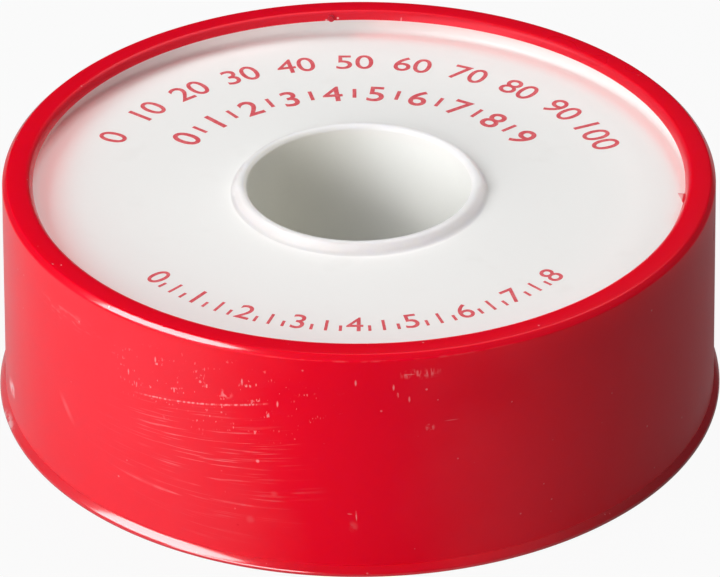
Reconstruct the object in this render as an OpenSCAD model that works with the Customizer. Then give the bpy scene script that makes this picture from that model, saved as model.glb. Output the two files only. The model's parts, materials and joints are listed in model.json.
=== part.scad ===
// Thread seal tape roll: a white spool wound with tape, under a red slip-on cover.
// The spool and the foot of the cover stand on z = 0, with the spool's axis on z.
// The tape's length and thickness set how thick it winds, the flanges follow the tape,
// and the cover follows the flanges.

/* [Tape] */
// Width of the tape
tape_w = 19; // [10:0.5:30]
// Thickness of the tape
tape_thick = 0.2; // [0.1:0.02:0.4]
// Length of tape wound under its outer turn
tape_len = 15000; // [8000:500:24000]
// Angle left open between the free end and the start of the outer turn
tail_angle = 24; // [10:1:60]
// Direction in which the tape's free end lies, counted from +X
tail_at = 282; // [0:1:359]

/* [Spool] */
// Diameter of the bore through the hub
bore_d = 22.5; // [16:0.1:30]
// Wall of the hub
hub_wall = 1.2; // [0.8:0.1:2.5]
// Thickness of each flange
flange_thick = 0.95; // [0.6:0.05:2]
// Reach of the upper flange past the tape's outer turn
flange_over = 0.45; // [0.2:0.01:2]
// Height of the raised rim above the upper flange
rim_rise = 1.75; // [0.8:0.05:3]
// Wall of the raised rim
rim_wall = 0.75; // [0.5:0.05:1.5]
// Radius of the fillet inside the raised rim
rim_fillet = 0.5; // [0.2:0.05:0.8]
// Width of the rounded crest of the bead round the bore
bead_w = 1; // [0.6:0.1:1.2]
// Height of that bead above the upper flange
bead_rise = 1.1; // [0.8:0.05:2]
// Reach of that bead's sloped side beyond its crest
bead_slope = 0.4; // [0.2:0.05:2]

/* [Cover] */
// Wall of the cover
cover_wall = 1.22; // [0.8:0.02:2]
// Draft of the cover's wall, in degrees: it widens towards the foot
draft = 1.6; // [0.2:0.1:3]
// Thickness of the lip
lip_thick = 0.9; // [0.6:0.05:2]
// Reach of the lip's top edge in from the cover's inner wall
lip_reach = 1.38; // [0.8:0.02:3]
// Further reach of the lip's lower edge
lip_taper = 0.45; // [0:0.05:0.8]
// Chamfer of the cover's top outer edge
edge_chamfer = 0.5; // [0.2:0.05:0.8]
// Reach of the foot beyond the wall
foot_proud = 0.6; // [0.3:0.02:1.2]
// Height of the foot's upright face
foot_face = 0.35; // [0.25:0.05:1]
// Rise of the foot's slope, from that face in to the wall
slope_rise = 0.6; // [0.3:0.02:1]
// Radius of the foot's lower outer edge
foot_round = 0.12; // [0.06:0.02:0.2]

/* [Clearances] */
// Room beside the tape, at each flange
tape_side_gap = 0.2; // [0.1:0.05:0.6]
// Room between the wound tape and its outer turn
turn_gap = 0.15; // [0.1:0.01:0.3]
// Room between the cover's inner wall and each flange
cover_gap = 0.18; // [0.1:0.02:0.5]
// Room between the raised rim and the lip above it
seat_gap = 0.15; // [0.05:0.05:0.5]

/* [Hidden] */
$fn = 180;

// Radii from the bore outwards
bore_r = bore_d / 2;
hub_r = bore_r + hub_wall;
wound_r = sqrt(pow(hub_r, 2) + tape_len * tape_thick / PI);
turn_r = wound_r + turn_gap;
flange_r = turn_r + tape_thick + flange_over;

// Heights from the table upwards
tape_z = flange_thick + tape_side_gap;
flange_under_z = tape_z + tape_w + tape_side_gap;
flange_top_z = flange_under_z + flange_thick;
rim_top_z = flange_top_z + rim_rise;
lip_under_z = rim_top_z + seat_gap;
cover_h = lip_under_z + lip_thick;

// The cover's drafted wall, inside and outside, at a height
function inside_r(z) = flange_r + cover_gap + (lip_under_z - z) * tan(draft);
function wall_r(z) = inside_r(z) + cover_wall;

// The lower flange keeps the same room to the wall at its own height
low_flange_r = inside_r(flange_thick) - cover_gap;

lip_r = inside_r(cover_h) - lip_reach;
foot_r = wall_r(0) + foot_proud;

// A ring of rectangular section
module band(inner_r, outer_r, low_z, high_z) {
    translate([inner_r, low_z])
        square([outer_r - inner_r, high_z - low_z]);
}

// Hub, two flanges, raised rim and bead, as half a section
module spool_section() {
    rim_in_r = flange_r - rim_wall;
    crest_r = bead_w / 2;
    crest_centre = [bore_r + crest_r, flange_top_z + bead_rise - crest_r];
    bead_foot = [bore_r + bead_w + bead_slope, flange_top_z];

    // The bead's slope runs from its foot up to where it just touches the round crest
    span = bead_foot - crest_centre;
    touch_angle = atan2(span[1], span[0]) + acos(crest_r / norm(span));
    touch = crest_centre + crest_r * [cos(touch_angle), sin(touch_angle)];

    band(bore_r, hub_r, 0, flange_top_z);
    band(bore_r, low_flange_r, 0, flange_thick);
    band(bore_r, flange_r, flange_under_z, flange_top_z);
    band(rim_in_r, flange_r, flange_under_z, rim_top_z - rim_wall / 2);
    translate([flange_r - rim_wall / 2, rim_top_z - rim_wall / 2])
        circle(d = rim_wall);
    difference() {
        band(rim_in_r - rim_fillet, rim_in_r, flange_top_z, flange_top_z + rim_fillet);
        translate([rim_in_r - rim_fillet, flange_top_z + rim_fillet])
            circle(r = rim_fillet);
    }
    polygon([
        [bore_r, flange_top_z],
        bead_foot,
        touch,
        crest_centre,
        [bore_r, crest_centre[1]]
    ]);
    translate(crest_centre)
        circle(r = crest_r);
}

// Drafted wall with its lip above and its proud foot below, as half a section
module cover_section() {
    chamfer_z = cover_h - edge_chamfer;
    slope_top_z = foot_face + slope_rise;
    foot_centre = [foot_r - foot_round, foot_round];
    polygon([
        [inside_r(0), 0],
        [foot_centre[0], 0],
        foot_centre,
        [foot_r, foot_centre[1]],
        [foot_r, foot_face],
        [wall_r(slope_top_z), slope_top_z],
        [wall_r(chamfer_z), chamfer_z],
        [wall_r(cover_h) - edge_chamfer, cover_h],
        [lip_r, cover_h],
        [lip_r - lip_taper, lip_under_z],
        [inside_r(lip_under_z), lip_under_z]
    ]);
    translate(foot_centre)
        circle(r = foot_round);
}

// White spool, one moulding
module spool() {
    color("#ecebe8")
        rotate_extrude()
            spool_section();
}

// The tape as wound on the hub, up to its last turn
module tape_roll() {
    color("#f7f6f1")
        rotate_extrude()
            band(hub_r, wound_r, tape_z, tape_z + tape_w);
}

// The tape's outer turn, open between its start and its free end
module tape_end() {
    color("#fdfcf8")
        rotate(tail_at)
            rotate_extrude(angle = 360 - tail_angle)
                band(turn_r, turn_r + tape_thick, tape_z, tape_z + tape_w);
}

// Red cover, which lifts off over the spool
module cover_ring() {
    color("#d9122b")
        rotate_extrude()
            cover_section();
}

spool();
tape_roll();
tape_end();
cover_ring();
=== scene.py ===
import json
import math

import bpy
from mathutils import Matrix, Vector


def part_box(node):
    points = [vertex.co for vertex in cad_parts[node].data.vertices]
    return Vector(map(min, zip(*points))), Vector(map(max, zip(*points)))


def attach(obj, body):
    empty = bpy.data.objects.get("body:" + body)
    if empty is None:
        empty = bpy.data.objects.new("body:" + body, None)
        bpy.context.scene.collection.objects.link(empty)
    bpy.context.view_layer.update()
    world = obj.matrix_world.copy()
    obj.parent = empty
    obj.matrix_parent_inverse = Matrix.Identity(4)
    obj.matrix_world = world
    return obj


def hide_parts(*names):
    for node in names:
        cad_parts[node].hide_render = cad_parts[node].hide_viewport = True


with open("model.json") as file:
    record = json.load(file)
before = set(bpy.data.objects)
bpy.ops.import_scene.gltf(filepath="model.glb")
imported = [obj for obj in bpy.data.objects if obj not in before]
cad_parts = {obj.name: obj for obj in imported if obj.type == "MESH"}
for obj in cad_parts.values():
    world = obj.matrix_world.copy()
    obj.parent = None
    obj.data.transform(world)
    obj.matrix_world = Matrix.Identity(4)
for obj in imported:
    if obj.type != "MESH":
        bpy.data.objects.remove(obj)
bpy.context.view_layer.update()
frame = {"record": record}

# Spool: one white polypropylene moulding, a thin hub between two flanges round an open bore.
# The upper flange is a shallow tray, with a raised rim at its edge and a rounded bead at the bore.
# Two small pads lean on the bead's outside, where the two halves of the core mould met.
spool_low, spool_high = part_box("spool")
roll_low, roll_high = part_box("tape_roll")
turn_low, turn_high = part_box("tape_end")
spool_bore = next(mount for mount in frame["record"]["mounts"] if mount["name"] == "spool_bore")
bore_radius = spool_bore["dims"]["r_mm"] / 1000
hub_wall = 0.0012
flange_thickness = 0.00095
tape_side_room = 0.0002
flange_over = 0.00045
rim_wall = 0.00075
rim_round = rim_wall * 0.49
rim_fillet = 0.0005
bead_width = 0.001
bead_rise = 0.0011
bead_slope = 0.0004
bead_foot_round = 0.0004
flange_edge_round = 0.00025
hub_radius = bore_radius + hub_wall
flange_under = roll_high.z + tape_side_room
flange_face = flange_under + flange_thickness
flange_radius = turn_high.x + flange_over
rim_inside = flange_radius - rim_wall
bead_foot = (bore_radius + bead_width + bead_slope, flange_face)
bead_base = flange_face + bead_foot_round / 8
crest_radius = bead_width / 2
crest_centre = (bore_radius + crest_radius, flange_face + bead_rise - crest_radius)
crest_steps = 12
merge_reach = 1e-6


def draw_ring(name, section, sides=360):
    """Draws a circle round a closed section of (radius, height) points, like a turned part."""
    radius, height = section[0]
    bpy.ops.object.select_all(action="DESELECT")
    bpy.ops.mesh.primitive_circle_add(vertices=sides, radius=radius, location=(0, 0, height))
    ring = bpy.context.object
    ring.name = ring.data.name = name
    bpy.ops.object.transform_apply(location=True)
    bpy.ops.object.mode_set(mode="EDIT")
    bpy.ops.mesh.select_all(action="SELECT")
    for next_radius, next_height in section[1:] + section[:1]:
        rise = (0, 0, next_height - height)
        growth = next_radius / radius
        bpy.ops.mesh.extrude_edges_move(TRANSFORM_OT_translate={"value": rise})
        bpy.ops.transform.resize(value=(growth, growth, 1), center_override=(0, 0, 0))
        radius, height = next_radius, next_height
    bpy.ops.mesh.select_all(action="SELECT")
    bpy.ops.mesh.remove_doubles(threshold=merge_reach)
    bpy.ops.mesh.normals_make_consistent(inside=False)
    bpy.ops.object.mode_set(mode="OBJECT")
    return ring


def round_edges(ring, corners, width, steps):
    """Bevels the round edges of a ring that run through the given (radius, height) corners."""
    bpy.ops.object.mode_set(mode="EDIT")
    bpy.ops.mesh.select_mode(type="EDGE")
    bpy.ops.mesh.select_all(action="DESELECT")
    bpy.ops.object.mode_set(mode="OBJECT")
    reach = 2 * merge_reach
    for radius, height in corners:
        on_corner = [
            abs(math.hypot(vertex.co.x, vertex.co.y) - radius) < reach and abs(vertex.co.z - height) < reach
            for vertex in ring.data.vertices
        ]
        for edge in ring.data.edges:
            if all(on_corner[index] for index in edge.vertices):
                edge.select = True
    bpy.ops.object.mode_set(mode="EDIT")
    bpy.ops.mesh.bevel(offset=width, segments=steps, affect="EDGES")
    bpy.ops.object.mode_set(mode="OBJECT")


def smooth_faces(piece, angle=35):
    """Shades a piece smooth, apart from edges sharper than an angle in degrees."""
    bpy.ops.object.select_all(action="DESELECT")
    piece.select_set(True)
    bpy.context.view_layer.objects.active = piece
    bpy.ops.object.shade_smooth_by_angle(angle=math.radians(angle))


def join_onto(piece, extras):
    """Joins small pieces onto the piece that carries them."""
    bpy.ops.object.select_all(action="DESELECT")
    for extra in extras:
        extra.select_set(True)
    piece.select_set(True)
    bpy.context.view_layer.objects.active = piece
    bpy.ops.object.join()


bead_across = bead_foot[0] - crest_centre[0]
bead_up = bead_foot[1] - crest_centre[1]
touch_angle = math.atan2(bead_up, bead_across) + math.acos(crest_radius / math.hypot(bead_across, bead_up))
crest = []
for index in range(crest_steps + 1):
    turn = touch_angle + (math.pi - touch_angle) * index / crest_steps
    crest.append((
        crest_centre[0] + crest_radius * math.cos(turn),
        crest_centre[1] + crest_radius * math.sin(turn),
    ))
spool = draw_ring("white_spool", [
    (bore_radius, spool_low.z),
    (spool_high.x, spool_low.z),
    (spool_high.x, flange_thickness),
    (hub_radius, flange_thickness),
    (hub_radius, flange_under),
    (flange_radius, flange_under),
    (flange_radius, spool_high.z),
    (rim_inside, spool_high.z),
    (rim_inside, flange_face),
    bead_foot,
    *crest,
])
round_edges(spool, [(rim_inside, spool_high.z), (flange_radius, spool_high.z)], rim_round, steps=6)
round_edges(spool, [(rim_inside, flange_face)], rim_fillet, steps=6)
round_edges(spool, [bead_foot], bead_foot_round, steps=6)
round_edges(
    spool,
    [(spool_high.x, spool_low.z), (spool_high.x, flange_thickness), (bore_radius, spool_low.z)],
    flange_edge_round,
    steps=4,
)

pad_half_width = 0.0014
pad_reach = 0.0002
pad_squareness = 4
for vertex in spool.data.vertices:
    radius = math.hypot(vertex.co.x, vertex.co.y)
    on_bead = crest_centre[0] < radius < bead_foot[0] and vertex.co.z > bead_base
    aside = abs(vertex.co.y) / pad_half_width
    if on_bead and aside < 1:
        growth = 1 + pad_reach * (1 - aside ** pad_squareness) / radius
        vertex.co.x *= growth
        vertex.co.y *= growth
smooth_faces(spool)


class Shade:
    """One socket of a finish. Sums and products of sockets add their own Math nodes."""

    def __init__(self, tree, socket=None):
        self.tree = tree
        self.socket = socket

    def node(self, kind, settings=None, sockets=None, output=0):
        """Adds a node: its settings come first, then the values or links of its sockets."""
        made = self.tree.nodes.new(kind)
        for name, value in (settings or {}).items():
            setattr(made, name, value)
        for name, value in (sockets or {}).items():
            if isinstance(value, Shade):
                self.tree.links.new(value.socket, made.inputs[name])
            else:
                made.inputs[name].default_value = value
        return Shade(self.tree, made.outputs[output])

    def also(self, output):
        """Another output of the node that this socket belongs to."""
        return Shade(self.tree, self.socket.node.outputs[output])

    def feeds(self, shader, name):
        """Links this socket to a named socket of a shader."""
        self.tree.links.new(self.socket, shader.inputs[name])

    def worked(self, operation, first, second):
        """The result of a Math node on two values."""
        return self.node("ShaderNodeMath", {"operation": operation}, {0: first, 1: second})

    def __add__(self, other):
        return self.worked("ADD", self, other)

    def __radd__(self, other):
        return self.worked("ADD", other, self)

    def __sub__(self, other):
        return self.worked("SUBTRACT", self, other)

    def __rsub__(self, other):
        return self.worked("SUBTRACT", other, self)

    def __mul__(self, other):
        return self.worked("MULTIPLY", self, other)

    def __rmul__(self, other):
        return self.worked("MULTIPLY", other, self)

    def __truediv__(self, other):
        return self.worked("DIVIDE", self, other)

    def __rtruediv__(self, other):
        return self.worked("DIVIDE", other, self)

    def __pow__(self, other):
        return self.worked("POWER", self, other)

    def __rpow__(self, other):
        return self.worked("POWER", other, self)


def new_finish(name, fixed):
    """A new finish with the values that are the same all over it, its shader and a bare socket."""
    finish = bpy.data.materials.new(name)
    finish.use_nodes = True
    shader = finish.node_tree.nodes["Principled BSDF"]
    for socket, value in fixed.items():
        shader.inputs[socket].default_value = value
    return finish, shader, Shade(finish.node_tree)


def noise(place, scale, detail=2.0):
    """Soft noise on a place, with so many waves to the metre."""
    return place.node("ShaderNodeTexNoise", None, {"Vector": place, "Scale": scale, "Detail": detail})


def step_up(value, low, high):
    """A soft step from 0 to 1 as a value goes from low to high."""
    ends = {"Value": value, "From Min": low, "From Max": high}
    return value.node("ShaderNodeMapRange", {"interpolation_type": "SMOOTHSTEP"}, ends)


def mix_colours(share, first, second):
    """The first colour where the share is 0, and the second where it is 1."""
    return share.node("ShaderNodeMix", {"data_type": "RGBA"}, {0: share, 6: first, 7: second}, 2)


def bump(height, distance, strength=1.0):
    """A surface raised by a height between 0 and 1, over a distance in metres."""
    return height.node("ShaderNodeBump", None, {"Strength": strength, "Distance": distance, "Height": height})


def parted(place):
    """The across, depth and height of a place, and its distance from the spool's axis."""
    across = place.node("ShaderNodeSeparateXYZ", None, {0: place})
    depth = across.also("Y")
    return across, depth, across.also("Z"), (across * across + depth * depth) ** 0.5


def white_finish(name, painted_lamp_side_white, painted_shade_side_white, fixed):
    """The spool's white plastic, from its left to its right, with painted light and shade: a lamp-side and a
    shade-side white, a painted warm bounce light in the bore's shaded side, and painted shade along the rim
    at the right.
    """
    plastic, shader, bare = new_finish(name, fixed)
    place = bare.node("ShaderNodeTexCoord", None, None, "Object")
    across, depth, _, radius = parted(place)
    cloudy = noise(place, 60.0, 3.0)
    grimy = step_up(noise(place, 190.0, 5.0), 0.60, 0.78)
    handled_white = (0.760, 0.745, 0.715, 1)
    painted_bounce_white = (0.950, 0.930, 0.835, 1)
    painted_shade_white = (0.760, 0.800, 0.785, 1)
    rightward = 0.95
    lamp_depth = 0.33
    shade_depth = 0.60
    grime_share = 0.16
    bore_edge = bore_radius + bead_width * 0.1
    crest_edge = bore_radius + bead_width * 0.4
    from_lamp = across * rightward + depth * lamp_depth
    # Painted light and shade: the white runs from a lamp-side colour to a shade-side colour across the lamp's
    # direction
    white = mix_colours(step_up(from_lamp, -0.010, 0.010), painted_lamp_side_white, painted_shade_side_white)
    white = mix_colours(grimy * grime_share, white, handled_white)
    # Painted bounce light: the bore's shaded side, away from the lamp, is painted a brighter, warmer white
    in_bore = 1 - step_up(radius, bore_edge, crest_edge)
    white = mix_colours(in_bore * (1 - step_up(from_lamp, -0.006, 0.008)), white, painted_bounce_white)
    # Painted shade: the tray's rim at the far right is painted a duller, greyer white
    far_side = step_up(across * rightward + depth * shade_depth, 0.004, 0.022)
    painted_rim_shade = far_side * step_up(radius, 0.0270, 0.0330)
    mix_colours(painted_rim_shade, white, painted_shade_white).feeds(shader, "Base Color")
    (0.30 + 0.14 * cloudy + 0.10 * grimy).feeds(shader, "Roughness")
    bump(noise(place, 2600.0, 3.0), 0.00002, 0.35).feeds(shader, "Normal")
    return plastic


plastic_ior = 1.49
spool_white = (0.915, 0.918, 0.900, 1)
white_plastic = white_finish("white_spool_plastic", spool_white, spool_white, {"IOR": plastic_ior})

# The bead stands up thin, so light spreads through it
# Its white is painted dimmer at the left, where the lamp falls, and brighter at the right, where it is
# shaded: painted shade and painted light
bead_lamp_side_painted_dim = (0.790, 0.795, 0.780, 1)
bead_shade_side_painted_bright = (0.990, 0.992, 0.968, 1)
bead_plastic = white_finish("white_bead_plastic", bead_lamp_side_painted_dim, bead_shade_side_painted_bright, {
    "IOR": plastic_ior,
    "Subsurface Weight": 1.0,
    "Subsurface Radius": (1.0, 0.98, 0.88),
    "Subsurface Scale": 0.0030,
})
spool.data.materials.append(white_plastic)
spool.data.materials.append(bead_plastic)
bead_edge = bead_foot[0] + bead_foot_round
for face in spool.data.polygons:
    face_radius = math.hypot(face.center.x, face.center.y)
    if face.center.z > bead_base and face_radius < bead_edge:
        face.material_index = 1
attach(spool, "spool")
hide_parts("spool")

# Print on the upper flange: three plain scales in red ink, laid on by a pad.
# Two are read from the front along the back of the face, and one lies along the front.
# The pad came down a little off the spool's centre.
ink_thickness = 0.00002
ink_merge_reach = 1e-7
figure_share = 0.7
pad_shift = Vector((-0.00043, -0.0005, 0))


def ink_number(text, height, weight):
    """One number as flat ink, standing on the origin and centred on it, its strokes widened by a weight."""
    bpy.ops.object.select_all(action="DESELECT")
    bpy.ops.object.text_add(location=(0, 0, 0))
    number = bpy.context.object
    number.data.body = text
    number.data.size = height / figure_share
    number.data.align_x = "CENTER"
    number.data.extrude = ink_thickness / 2
    bpy.ops.object.convert(target="MESH")
    bpy.ops.object.mode_set(mode="EDIT")
    bpy.ops.mesh.select_all(action="SELECT")
    bpy.ops.mesh.remove_doubles(threshold=ink_merge_reach)
    bpy.ops.transform.shrink_fatten(value=weight, use_even_offset=True)
    flattening = ink_thickness / (ink_thickness + 2 * weight)
    bpy.ops.transform.resize(value=(1, 1, flattening), center_override=(0, 0, 0))
    bpy.ops.object.mode_set(mode="OBJECT")
    return number


def ink_tick(height, width):
    """One tick of a scale as flat ink, standing on the origin."""
    bpy.ops.object.select_all(action="DESELECT")
    bpy.ops.mesh.primitive_cube_add(size=1, location=(0, height / 2, 0))
    tick = bpy.context.object
    tick.scale = (width, height, ink_thickness)
    bpy.ops.object.transform_apply(location=True, scale=True)
    bpy.ops.object.mode_set(mode="EDIT")
    bpy.ops.mesh.bevel(offset=ink_thickness / 4, segments=1, affect="EDGES")
    bpy.ops.object.mode_set(mode="OBJECT")
    return tick


def lay_on_arc(mark, foot_radius, bearing, faces_out):
    """Lays a mark on an arc. Its bearing counts from the back if it faces out, and else from the front."""
    side = 1 if faces_out else -1
    turn = Matrix.Rotation(math.radians(-side * bearing), 4, "Z")
    reach = Matrix.Translation((0, side * foot_radius, 0))
    seat = Matrix.Translation(pad_shift + Vector((0, 0, flange_face + ink_thickness / 2)))
    mark.matrix_world = seat @ turn @ reach
    bpy.ops.object.select_all(action="DESELECT")
    mark.select_set(True)
    bpy.context.view_layer.objects.active = mark
    bpy.ops.object.transform_apply(location=True, rotation=True, scale=True)
    return mark


def lay_scale(values, span, foot, height, weight, ticks, faces_out):
    """Numbers spread evenly over a span to each side. A tick is (share of a step, lift, rise, width)."""
    step = 2 * span / (len(values) - 1)
    laid = []
    for index, value in enumerate(values):
        bearing = step * index - span
        laid.append(lay_on_arc(ink_number(str(value), height, weight), foot, bearing, faces_out))
        if index + 1 < len(values):
            for share, lift, rise, width in ticks:
                tick = ink_tick(height * rise, width)
                laid.append(lay_on_arc(tick, foot + height * lift, bearing + share * step, faces_out))
    return laid


plain_weight = 0.00002
bold_weight = 0.00005
outer_span = 65
outer_height = 0.00292
outer_foot = 0.02869 - outer_height
inner_span = 57
inner_height = 0.00300
inner_foot = 0.02195 - inner_height
inner_ticks = [(0.5, 0.19, 0.62, 0.0004)]
front_span = 50
front_height = 0.00242
front_foot = 0.02596
front_ticks = [
    (0.25, 0, 0.40, 0.0003),
    (0.50, 0, 0.75, 0.0003),
    (0.75, 0, 0.40, 0.0003),
]
ink_marks = lay_scale(range(0, 101, 10), outer_span, outer_foot, outer_height, plain_weight, [], True)
ink_marks += lay_scale(range(0, 10), inner_span, inner_foot, inner_height, bold_weight, inner_ticks, True)
ink_marks += lay_scale(range(0, 9), front_span, front_foot, front_height, plain_weight, front_ticks, False)

face_print = ink_marks[0]
join_onto(face_print, ink_marks[1:])
face_print.name = face_print.data.name = "face_print"

red_ink, ink_shader, bare = new_finish("red_pad_ink", {})
place = bare.node("ShaderNodeTexCoord", None, None, "Object")
thin = step_up(noise(place, 2400.0, 4.0), 0.42, 0.66)
full_ink = (0.690, 0.078, 0.098, 1)
thin_ink = (0.760, 0.150, 0.165, 1)
mix_colours(thin, full_ink, thin_ink).feeds(ink_shader, "Base Color")
(0.42 + 0.12 * thin).feeds(ink_shader, "Roughness")
bump(thin, 0.000004, 0.5).feeds(ink_shader, "Normal")
face_print.data.materials.clear()
face_print.data.materials.append(red_ink)
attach(face_print, "spool")

# Tape as wound on the hub: many turns of thin white seal tape, drawn tight by the winding machine.
# Its turns don't lie quite level, so their edges make low steps towards both flanges.
turn_room = 0.00015
tape_thickness = turn_high.x - roll_high.x - turn_room
roll_edge_step = 0.00006


def turns_in(count):
    """The radius that lies a count of turns inside the roll's outside."""
    return roll_high.x - count * tape_thickness


roll = draw_ring("wound_tape", [
    (hub_radius, roll_low.z),
    (turns_in(9), roll_low.z),
    (turns_in(9), roll_low.z + roll_edge_step),
    (turns_in(5), roll_low.z + roll_edge_step),
    (turns_in(5), roll_low.z),
    (roll_high.x, roll_low.z),
    (roll_high.x, roll_high.z),
    (turns_in(3), roll_high.z),
    (turns_in(3), roll_high.z - roll_edge_step),
    (turns_in(7), roll_high.z - roll_edge_step),
    (turns_in(7), roll_high.z),
    (hub_radius, roll_high.z),
], sides=240)
round_edges(roll, [(roll_high.x, roll_low.z), (roll_high.x, roll_high.z)], tape_thickness / 3, steps=3)
smooth_faces(roll)

white_tape, tape_shader, bare = new_finish("white_seal_tape", {"IOR": 1.38})
place = bare.node("ShaderNodeTexCoord", None, None, "Object")
drawn_waves = (40.0, 40.0, 1800.0)
flat_place = bare.node("ShaderNodeVectorMath", {"operation": "MULTIPLY"}, {0: place, 1: drawn_waves})
drawn = noise(flat_place, 1.0, 3.0)
creased = step_up(noise(place, 260.0, 4.0), 0.52, 0.74)
fresh_tape = (0.90, 0.90, 0.88, 1)
drawn_tape = (0.82, 0.82, 0.80, 1)
creased_tape = (0.86, 0.85, 0.82, 1)
tape_colour = mix_colours(step_up(drawn, 0.35, 0.70), fresh_tape, drawn_tape)
mix_colours(creased * 0.5, tape_colour, creased_tape).feeds(tape_shader, "Base Color")
(0.46 + 0.22 * drawn).feeds(tape_shader, "Roughness")
bump(drawn + creased * 0.4, 0.00005, 0.5).feeds(tape_shader, "Normal")
roll.data.materials.append(white_tape)
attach(roll, "spool")
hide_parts("tape_roll")

# The tape's outer turn: the end of the same tape, which comes up off the roll and lies round it.
# Its free end is cut square and stands off a little at the front.
tail_bearing = math.radians(282)
tail_gap = math.radians(24)
turn_radius = turn_high.x - tape_thickness
turn_steps = 224
rise_angle = math.radians(40)
lay_room = 0.00001
bpy.ops.object.select_all(action="DESELECT")
bpy.ops.mesh.primitive_plane_add(size=1, location=(0, 0, 0))
outer_turn = bpy.context.object
outer_turn.name = outer_turn.data.name = "tape_outer_turn"
outer_turn.scale = (tape_thickness, turn_high.z - turn_low.z, 1)
outer_turn.rotation_euler = (math.radians(90), 0, 0)
outer_turn.location = (turn_radius + tape_thickness / 2, 0, (turn_low.z + turn_high.z) / 2)
bpy.ops.object.transform_apply(location=True, rotation=True, scale=True)
bpy.ops.object.mode_set(mode="EDIT")
bpy.ops.mesh.select_all(action="SELECT")
bpy.ops.mesh.spin(
    steps=turn_steps,
    angle=2 * math.pi - tail_gap,
    center=(0, 0, 0),
    axis=(0, 0, 1),
)
bpy.ops.mesh.select_all(action="SELECT")
bpy.ops.mesh.remove_doubles(threshold=merge_reach)
bpy.ops.mesh.normals_make_consistent(inside=False)
bpy.ops.object.mode_set(mode="OBJECT")
for vertex in outer_turn.data.vertices:
    along = math.atan2(vertex.co.y, vertex.co.x) % (2 * math.pi)
    down = max(0.0, 1 - along / rise_angle) ** 2
    radius = math.hypot(vertex.co.x, vertex.co.y)
    lowered = radius - down * (turn_radius - roll_high.x - lay_room)
    vertex.co.x *= lowered / radius
    vertex.co.y *= lowered / radius
outer_turn.rotation_euler = (0, 0, tail_bearing)
bpy.ops.object.transform_apply(rotation=True)
smooth_faces(outer_turn)
outer_turn.data.materials.append(white_tape)
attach(outer_turn, "tape_end")
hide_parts("tape_end")

# Cover: one thin red moulding with a drafted wall, a narrow lip turned in at the top and a proud foot.
# It slips down over the spool until its lip stands just above the spool's raised rim.
# Handling has rubbed pale hairlines into its front, and its lip keeps a gate stub and a sliver of flash.
cover_low, cover_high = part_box("cover_ring")
cover_wall = 0.00122
draft = math.radians(1.6)
lip_thickness = 0.0009
lip_reach = 0.00138
lip_taper = 0.00045
lip_round = lip_thickness * 0.4
edge_chamfer = 0.0005
foot_proud = 0.0006
foot_face = 0.00035
slope_rise = 0.0006
foot_round = 0.00012
foot_radius = min(cover_high.x, cover_high.y, -cover_low.x, -cover_low.y)
parting_line = 0.00007
soft_corner = 0.00013
wall_foot = cover_high.x - foot_proud


def wall_radius(level):
    """The outside of the drafted wall at a level above the floor."""
    return wall_foot - level * math.tan(draft)


lip_under = cover_high.z - lip_thickness
lip_radius = wall_radius(cover_high.z) - cover_wall - lip_reach
slope_height = foot_face + slope_rise
chamfer_height = cover_high.z - edge_chamfer
slope_low = (foot_radius, foot_face)
slope_top = (wall_radius(slope_height), slope_height)
slope_run = slope_low[0] - slope_top[0]
slope_length = math.hypot(slope_run, slope_rise)
corner_share = 1.3 * soft_corner / slope_length
slope_start = (slope_low[0] - slope_run * corner_share, slope_low[1] + slope_rise * corner_share)
line_share = parting_line / slope_length
below_line = (slope_top[0] + slope_run * line_share, slope_top[1] - slope_rise * line_share)
parting = (slope_top[0] - parting_line / 2, slope_top[1])
above_line = (wall_radius(slope_height + parting_line), slope_height + parting_line)
inside_foot = (wall_foot - cover_wall, cover_low.z)
inside_top = (wall_radius(lip_under) - cover_wall, lip_under)
chamfer_low = (wall_radius(chamfer_height), chamfer_height)
chamfer_top = (wall_radius(cover_high.z) - edge_chamfer, cover_high.z)
lip_upper = (lip_radius, cover_high.z)
lip_lower = (lip_radius - lip_taper, lip_under)
foot_lower = (foot_radius, cover_low.z)
cover = draw_ring("red_cover", [
    inside_foot,
    foot_lower,
    slope_low,
    slope_start,
    below_line,
    parting,
    above_line,
    chamfer_low,
    chamfer_top,
    lip_upper,
    lip_lower,
    inside_top,
], sides=480)
round_edges(cover, [chamfer_low, chamfer_top], soft_corner, steps=4)
round_edges(cover, [foot_lower], foot_round, steps=4)
round_edges(cover, [slope_low], soft_corner, steps=4)
round_edges(cover, [lip_upper], lip_round, steps=6)
round_edges(cover, [lip_lower], soft_corner, steps=3)
round_edges(cover, [inside_foot], soft_corner, steps=3)

gate_bearing = math.radians(-174.95)
gate_radius = 0.00033
gate_proud = 0.00012
gate_height = lip_lower[1] + gate_radius * 0.75
gate_turn = Matrix.Rotation(gate_bearing, 4, "Z")
bpy.ops.object.select_all(action="DESELECT")
bpy.ops.mesh.primitive_cylinder_add(
    vertices=24,
    radius=gate_radius,
    depth=4 * gate_proud,
    location=(0, -lip_lower[0] - gate_proud, gate_height),
    rotation=(math.radians(90), 0, 0),
)
gate_stub = bpy.context.object
gate_stub.matrix_world = gate_turn @ gate_stub.matrix_world
bpy.ops.object.transform_apply(location=True, rotation=True)
bpy.ops.object.mode_set(mode="EDIT")
bpy.ops.mesh.select_all(action="SELECT")
bpy.ops.mesh.bevel(offset=gate_proud * 0.6, segments=3, affect="EDGES")
bpy.ops.object.mode_set(mode="OBJECT")

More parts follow.
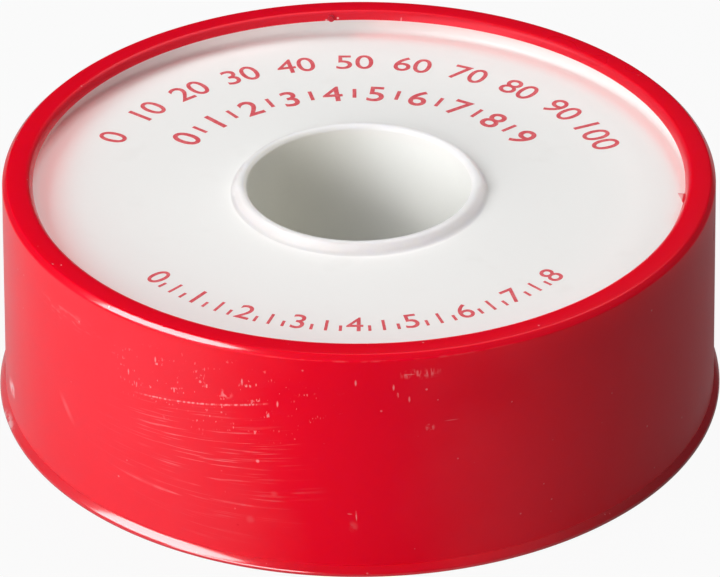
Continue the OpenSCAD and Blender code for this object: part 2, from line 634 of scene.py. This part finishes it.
flash_start = math.radians(82.0)
flash_end = math.radians(78.6)
flash_reach = 0.0006
flash_thickness = 0.00010
flash_corners = [
    (lip_lower[0] + soft_corner, flash_start),
    (lip_lower[0] + soft_corner, flash_end),
    (lip_lower[0] - flash_reach, flash_start),
]
bpy.ops.object.select_all(action="DESELECT")
bpy.ops.mesh.primitive_circle_add(vertices=3, radius=flash_reach, fill_type="NGON", location=(0, 0, 0))
flash = bpy.context.object
for vertex, (radius, turn) in zip(flash.data.vertices, flash_corners):
    vertex.co = (radius * math.sin(turn), -radius * math.cos(turn), lip_lower[1] + soft_corner)
bpy.ops.object.mode_set(mode="EDIT")
bpy.ops.mesh.select_all(action="SELECT")
bpy.ops.mesh.extrude_region_move(TRANSFORM_OT_translate={"value": (0, 0, flash_thickness)})
bpy.ops.mesh.select_all(action="SELECT")
bpy.ops.mesh.normals_make_consistent(inside=False)
bpy.ops.mesh.bevel(offset=flash_thickness * 0.3, segments=2, affect="EDGES")
bpy.ops.object.mode_set(mode="OBJECT")
join_onto(cover, [gate_stub, flash])
smooth_faces(cover, angle=24)

red_plastic, red_shader, bare = new_finish("red_cover_plastic", {
    "IOR": 1.5,
    "Specular Tint": (1.0, 0.16, 0.20, 1),
    "Coat Roughness": 0.12,
    "Coat IOR": 2.0,
    "Subsurface Weight": 0.5,
    "Subsurface Radius": (1.0, 0.10, 0.10),
    "Subsurface Scale": 0.0020,
})
place = bare.node("ShaderNodeTexCoord", None, None, "Object")
across, depth, height, radius = parted(place)
bearing = across.worked("ARCTAN2", across, 0 - depth)
round_wall = bearing * wall_foot


def streaky(length, rise, layer, low, high):
    """Noise on the unrolled wall, drawn out to a length and a rise in metres, cut off between two levels."""
    laid_out = {0: round_wall * (1 / length), 1: rise[0] * (1 / rise[1]), 2: layer}
    return step_up(noise(bare.node("ShaderNodeCombineXYZ", None, laid_out), 1.0, 1.0), low, high)


def worn_patch(centre, half_size, core=0.35, lean=0.0):
    """A soft patch round a centre on the unrolled wall, both given as (round, height)."""
    above = height - centre[1]
    aside = (round_wall - centre[0] + above * lean) * (1 / half_size[0])
    above = above * (1 / half_size[1])
    return 1 - step_up((aside * aside + above * above) ** 0.5, core, 1.0)


def at_least(share, mask):
    """A mask that is lifted so that it nowhere falls below a share."""
    return share + (1 - share) * mask


cloudy = noise(place, 70.0, 3.0)
mottled = noise(place, 420.0, 4.0)
grainy = noise(place, 1500.0, 3.0)
below_edge = 1 - step_up(height, 0.0234, 0.0237)
plain_wall = step_up(height, 0.00095, 0.0011) * below_edge
outer_wall = step_up(radius, 0.0345, 0.0349)

# Hairlines fan out: they lie level low down, and tilt up to the right higher up
fan_start = -0.0170
fan_tilt = 0.104
fan_curve = 4.0
fan_spread = 16.0
fan_aside = round_wall - fan_start
fan_level = height + fan_aside * fan_tilt - fan_aside * fan_aside * fan_curve
fan_level = fan_level / (1 + fan_aside * fan_spread)
rubbed = worn_patch((-0.0168, 0.0096), (0.0145, 0.0086), 0.45)
rubbed_more = worn_patch((-0.0150, 0.0132), (0.0120, 0.0044), 0.3)
long_lines = streaky(0.0090, (fan_level, 0.00042), 1.0, 0.63, 0.72)
fine_lines = streaky(0.0060, (fan_level, 0.00020), 7.0, 0.58, 0.72)
lines = long_lines * rubbed * 0.8 + fine_lines * rubbed_more * 0.9 + fine_lines * rubbed * 0.3
lines = lines * at_least(0.35, step_up(mottled, 0.36, 0.62))

# One longer scratch is broken up into dots
scratch_level = 0.0168
line_level = fan_level - scratch_level
long_line = 1 - step_up(line_level.worked("ABSOLUTE", line_level, 0.0), 0.00003, 0.00013)
long_line = long_line * step_up(round_wall, -0.0238, -0.0205) * (1 - step_up(round_wall, -0.0102, -0.0085))
long_line = long_line * at_least(0.12, streaky(0.00032, (height, 0.0009), 2.0, 0.42, 0.60))

# Upright flecks stand in short rows, with a few larger ones by themselves
nicked = worn_patch((-0.0140, 0.0182), (0.0150, 0.0050), 0.5)
fleck_rows = streaky(0.0024, (fan_level, 0.0008), 5.0, 0.60, 0.68)
flecks = streaky(0.00022, (height, 0.0007), 3.0, 0.54, 0.66) * fleck_rows
nicks = (flecks + streaky(0.00020, (height, 0.0006), 6.0, 0.73, 0.79)) * nicked
fleck_size = (0.00012, 0.00042)
fleck_grain = step_up(grainy, 0.34, 0.50)
for fleck_centre in (
    (0.0032, 0.0207),
    (0.0036, 0.0198),
    (0.0047, 0.0193),
    (-0.0004, 0.0213),
    (-0.0079, 0.0185),
    (-0.0114, 0.0204),
    (-0.0182, 0.0189),
    (-0.0207, 0.0204),
    (-0.0240, 0.0179),
):
    nicks = nicks + worn_patch(fleck_centre, fleck_size) * fleck_grain
cluster = worn_patch((-0.0132, 0.0187), (0.0010, 0.0006)) * step_up(grainy, 0.46, 0.60)
comb = worn_patch((0.0058, 0.0220), (0.0026, 0.0007)) * streaky(0.00028, (height, 0.0016), 4.0, 0.46, 0.62)
comb = comb * step_up(grainy, 0.32, 0.56) + worn_patch((0.0047, 0.0220), (0.0007, 0.00007))
smears = worn_patch((-0.0330, 0.0203), (0.0060, 0.0012)) * streaky(0.0016, (height, 0.0005), 9.0, 0.50, 0.68)

# Single marks
spot = worn_patch((0.0067, 0.0160), (0.00055, 0.00055)) * step_up(grainy, 0.42, 0.58)
short_line = worn_patch((0.0088, 0.01655), (0.0009, 0.00008))
upright_nick = worn_patch((-0.0004, 0.0066), (0.00009, 0.0007), 0.35, 0.05)
upright_nick = upright_nick + worn_patch((-0.0010, 0.0068), (0.0003, 0.00010), 0.35, 0.8)
upright_nick = upright_nick * at_least(0.4, step_up(grainy, 0.40, 0.55))
blots = worn_patch((-0.0007, 0.0054), (0.0006, 0.0008), 0.1) * step_up(grainy, 0.34, 0.60)
blots = blots + worn_patch((-0.0107, 0.0052), (0.0006, 0.0006), 0.1) * 0.7
blots = blots + worn_patch((-0.0083, 0.0085), (0.0005, 0.0004), 0.1) * 0.7
smudge = worn_patch((-0.0331, 0.0097), (0.0007, 0.0018), 0.1, 0.82) * (0.6 + 0.6 * mottled)
dot = worn_patch((-0.0099, 0.0119), (0.00023, 0.00023))
left_chips = worn_patch((-0.0475, 0.0040), (0.0019, 0.0011), 0.4) * step_up(grainy, 0.40, 0.50)
foot_wear = worn_patch((-0.0470, 0.0003), (0.0026, 0.0006), 0.4) * step_up(grainy, 0.40, 0.55)

# Specks all round, and wear on the top edge, the lip and its flash
speck_cells = bare.node(
    "ShaderNodeTexVoronoi",
    {"voronoi_dimensions": "3D", "feature": "F1"},
    {"Vector": place, "Scale": 620.0, "Randomness": 1.0},
    "Distance",
)
speck_kept = step_up(noise(place, 520.0, 0.0), 0.56, 0.62)
specks = (1 - step_up(speck_cells, 0.040, 0.085)) * speck_kept
edge_wear = worn_patch((0.002, 0.02358), (0.020, 0.00012)) * step_up(mottled, 0.48, 0.64)
lip_chips = worn_patch((-0.10984, 0.02330), (0.00020, 0.00014))
lip_chips = lip_chips + worn_patch((-0.11121, 0.02345), (0.00018, 0.00014))
lip_chips = lip_chips + worn_patch((0.10854, 0.0234), (0.00012, 0.0003)) * 0.6
inside_lip = 1 - step_up(radius, lip_radius - 0.0001, lip_radius + 0.0003)
thin_flash = worn_patch((0.0507, 0.02338), (0.0016, 0.0004)) * (1 - step_up(radius, 0.03230, 0.03245))

# How pale each kind of mark is
wall_marks = (
    (lines, 0.25),
    (long_line, 0.62),
    (nicks, 0.55),
    (cluster, 0.40),
    (comb, 0.34),
    (smears, 0.12),
    (spot, 0.45),
    (short_line, 0.22),
    (upright_nick, 0.50),
    (blots, 0.13),
    (smudge, 0.14),
    (dot, 0.55),
    (left_chips, 0.80),
)
edge_marks = (
    (specks, 0.42),
    (edge_wear, 0.09),
    (foot_wear, 0.70),
    (lip_chips, 0.80),
    (thin_flash, 0.90),
)
marks = sum(mark * paleness for mark, paleness in wall_marks) * plain_wall
marks = marks + sum(mark * paleness for mark, paleness in edge_marks)

# Painted sheen: a thin pale film stands in for reflections on the wall, stronger at the left and weaker at
# the right
sheen_edge = bearing + (cloudy - 0.5) * 0.5
left_painted_sheen = (1 - step_up(sheen_edge, -0.56, -0.14)) * 0.070 + (1 - step_up(bearing, -1.45, -1.0)) * 0.10
left_painted_sheen = left_painted_sheen + (1 - step_up(bearing, -1.50, -1.20)) * 0.09
right_painted_sheen = step_up(sheen_edge, 0.10, 0.50) * (0.036 - 0.024 * step_up(bearing, 0.85, 1.25))
painted_sheen = left_painted_sheen * step_up(bearing, -2.7, -1.8) + right_painted_sheen * (1 - step_up(bearing, 1.8, 2.7))
painted_sheen = painted_sheen * (0.8 + 0.4 * cloudy) * outer_wall * below_edge
lip_paleness = 0.04
pale = marks + painted_sheen + inside_lip * lip_paleness

deep_red = (0.800, 0.0006, 0.0160, 1)
light_red = (0.840, 0.0020, 0.0230, 1)
lip_red = (0.640, 0.0020, 0.0200, 1)
top_red = (0.730, 0.0006, 0.0145, 1)
painted_shade_red = (0.260, 0.0100, 0.0160, 1)
scuff_and_sheen_red = (0.920, 0.480, 0.490, 1)
foot_shade_share = 0.75
red = mix_colours(cloudy, deep_red, light_red)
red = mix_colours(inside_lip, red, lip_red)
red = mix_colours(step_up(height, 0.02400, 0.02407) * (1 - inside_lip), red, top_red)
# Painted shade: the foot at the right is painted a dark, dull red
painted_foot_shade = (1 - step_up(height, 0.00092, 0.00102)) * step_up(bearing, 0.10, 0.90)
red = mix_colours(painted_foot_shade * (1 - step_up(bearing, 1.9, 2.6)) * foot_shade_share, red, painted_shade_red)
# The pale colour carries both the real scuffs and the painted sheen
mix_colours(pale, red, scuff_and_sheen_red).feeds(red_shader, "Base Color")
(0.25 + 0.08 * cloudy + 0.3 * marks).feeds(red_shader, "Roughness")
bump(noise(place, 1800.0, 3.0) - marks * 0.5, 0.00002, 0.25).feeds(red_shader, "Normal")

# The top edge and the foot are glossier than the wall
top_edge = step_up(height, 0.02366, 0.02372) * (1 - step_up(height, 0.02398, 0.02404))
top_edge = top_edge * outer_wall * at_least(0.65, streaky(0.006, (height, 0.00007), 11.0, 0.3, 0.5))
foot_edge = 1 - step_up(height, 0.00088, 0.00098)
(top_edge + foot_edge).feeds(red_shader, "Coat Weight")

# The thin plastic lets red light through, so what it shades is lit red
through_red = (1.0, 0.02, 0.025, 1)
shaded = bare.node("ShaderNodeLightPath", None, None, "Is Shadow Ray")
shaded = shaded * at_least(0.35, step_up(bearing, -2.5, -1.65))
red_light = bare.node("ShaderNodeBsdfTransparent", None, {"Color": through_red})
solid_red = Shade(bare.tree, red_shader.outputs[0])
lit_through = bare.node("ShaderNodeMixShader", None, {0: shaded, 1: solid_red, 2: red_light})
lit_through.feeds(red_plastic.node_tree.nodes["Material Output"], "Surface")
cover.data.materials.append(red_plastic)
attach(cover, "cover")
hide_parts("cover_ring")

# Floor: a plain pale sheet that the roll stands on, wide enough to fill the view.
# It is seen nearly white, and keeps the roll's soft shadow.
floor_half = 1.5
floor_drop = 0.00002
bpy.ops.object.select_all(action="DESELECT")
bpy.ops.mesh.primitive_grid_add(
    x_subdivisions=4,
    y_subdivisions=4,
    size=2 * floor_half,
    location=(0, 0, -floor_drop),
)
floor = bpy.context.object
floor.name = floor.data.name = "pale_floor"
pale_floor, floor_shader, bare = new_finish("pale_floor", {"Roughness": 0.9, "Specular IOR Level": 0.1})
place = bare.node("ShaderNodeTexCoord", None, None, "Object")
floor_grey = (0.30, 0.30, 0.30, 1)
floor_cool = (0.28, 0.28, 0.284, 1)
mix_colours(noise(place, 6.0, 2.0), floor_grey, floor_cool).feeds(floor_shader, "Base Color")
seen_lift = 0.94
mirrored_lift = 0.10
seen = bare.node("ShaderNodeLightPath", None, None, "Is Camera Ray")
mirrored = seen.also("Is Glossy Ray") + seen.also("Is Transmission Ray")
lift = seen * seen_lift + mirrored * mirrored_lift
white_card = bare.node("ShaderNodeEmission", None, {"Color": (1, 1, 1, 1), "Strength": 1.0})
lit_floor = Shade(bare.tree, floor_shader.outputs[0])
seen_floor = bare.node("ShaderNodeMixShader", None, {0: lift, 1: lit_floor, 2: white_card})
seen_floor.feeds(pale_floor.node_tree.nodes["Material Output"], "Surface")
floor.data.materials.append(pale_floor)

# Light: a bright lamp at the left, a low soft lamp at the front left and a high soft lamp at the back right.
# The world adds a weak even fill.
lamp_target = Vector((0, 0, 0.012))
lamp_distance = 0.7
world_fill = (0.03, 0.03, 0.031, 1)


def soft_lamp(name, bearing, elevation, width, height, power):
    """A soft lamp that faces the roll, with its bearing counted from the front to the right."""
    turn = math.radians(bearing)
    tilt = math.radians(elevation)
    towards = Vector((math.sin(turn) * math.cos(tilt), -math.cos(turn) * math.cos(tilt), math.sin(tilt)))
    lamp_data = bpy.data.lights.new(name, "AREA")
    lamp_data.shape = "RECTANGLE"
    lamp_data.size = width
    lamp_data.size_y = height
    lamp_data.energy = power
    lamp = bpy.data.objects.new(name, lamp_data)
    lamp.location = lamp_target + lamp_distance * towards
    lamp.rotation_euler = towards.to_track_quat("Z", "Y").to_euler()
    bpy.context.collection.objects.link(lamp)


soft_lamp("left_lamp", bearing=-71, elevation=41, width=0.42, height=0.36, power=3.00)
soft_lamp("front_lamp", bearing=-36, elevation=15, width=0.50, height=0.30, power=3.10)
soft_lamp("top_lamp", bearing=140, elevation=66, width=0.50, height=0.50, power=2.55)
world = bpy.data.worlds.new("studio")
bpy.context.scene.world = world
world.use_nodes = True
world.node_tree.nodes["Background"].inputs["Color"].default_value = world_fill
bpy.context.scene.view_settings.view_transform = "Standard"

# Camera: looks down on the roll from the front with a long lens, and is turned a touch about its axis.
# It takes in the whole roll, with a little floor all round.
view_elevation = math.radians(31.562)
view_distance = 0.450
view_roll = math.radians(-0.26)
view_target = Vector((0.000055, 0, 0.00979))
outward = Vector((0, -math.cos(view_elevation), math.sin(view_elevation)))
level_right = Vector((1, 0, 0))
level_up = outward.cross(level_right)
view_right = math.cos(view_roll) * level_right + math.sin(view_roll) * level_up
view_up = math.cos(view_roll) * level_up - math.sin(view_roll) * level_right
camera_data = bpy.data.cameras.new("front_view")
camera_data.sensor_fit = "HORIZONTAL"
camera_data.sensor_width = 36
camera_data.lens = 222.1
camera = bpy.data.objects.new("front_view", camera_data)
turned = Matrix((view_right, view_up, outward)).transposed().to_4x4()
camera.matrix_world = Matrix.Translation(view_target + view_distance * outward) @ turned
bpy.context.collection.objects.link(camera)
bpy.context.scene.camera = camera
